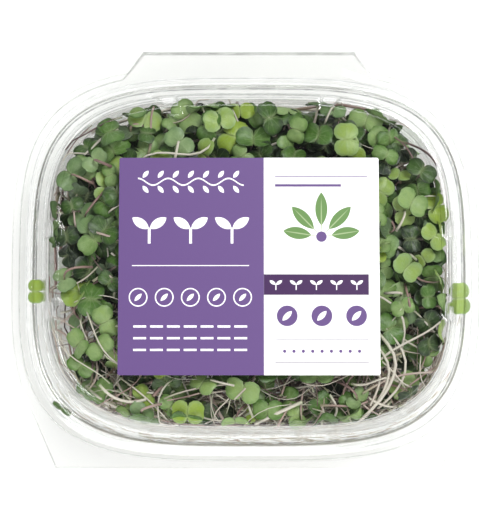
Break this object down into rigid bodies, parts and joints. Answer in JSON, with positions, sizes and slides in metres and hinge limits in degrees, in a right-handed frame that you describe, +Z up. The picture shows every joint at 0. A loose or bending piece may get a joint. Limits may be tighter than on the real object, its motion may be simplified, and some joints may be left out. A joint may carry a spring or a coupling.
{
  "type": "microgreens tray",
  "caption": "Clear hinged clamshell tub, closed, filled with cut cabbage microgreens: leafy sprout bunches over a tangle of pale stems, with a plain sticker on the lid.",
  "frame": {"origin": "on the surface that the tub stands on, under the middle of its flat base", "axes": "+Z up; +X to the right along the long side; +Y to the back, towards the hinge crease"},
  "size_m": [0.183, 0.1614, 0.052],
  "materials": {
    "clear_plastic": "clear thermoformed sheet, glossy, faintly grey on edge",
    "sticker": "printed sticker, satin, violet and white",
    "leaf_green": null,
    "stem_pale": null
  },
  "bodies": {
    "tub": {"tub": "clear_plastic", "stem_tangle": "stem_pale", "sprouts_01": "leaf_green", "sprouts_02": "leaf_green", "sprouts_03": "leaf_green", "sprouts_04": "leaf_green", "sprouts_05": "leaf_green", "sprouts_06": "leaf_green", "sprouts_07": "leaf_green", "sprouts_08": "leaf_green", "sprouts_09": "leaf_green", "sprouts_10": "leaf_green", "sprouts_11": "leaf_green", "sprouts_12": "leaf_green"},
    "lid": {"lid": "clear_plastic", "label": "sticker"}
  },
  "joints": [
    {"name": "lid_hinge", "type": "hinge", "parent": "tub", "child": "lid", "pos_m": [0, 0.0837, 0.0366], "axis": [-1, 0, 0], "range_deg": [0, 180]}
  ]
}
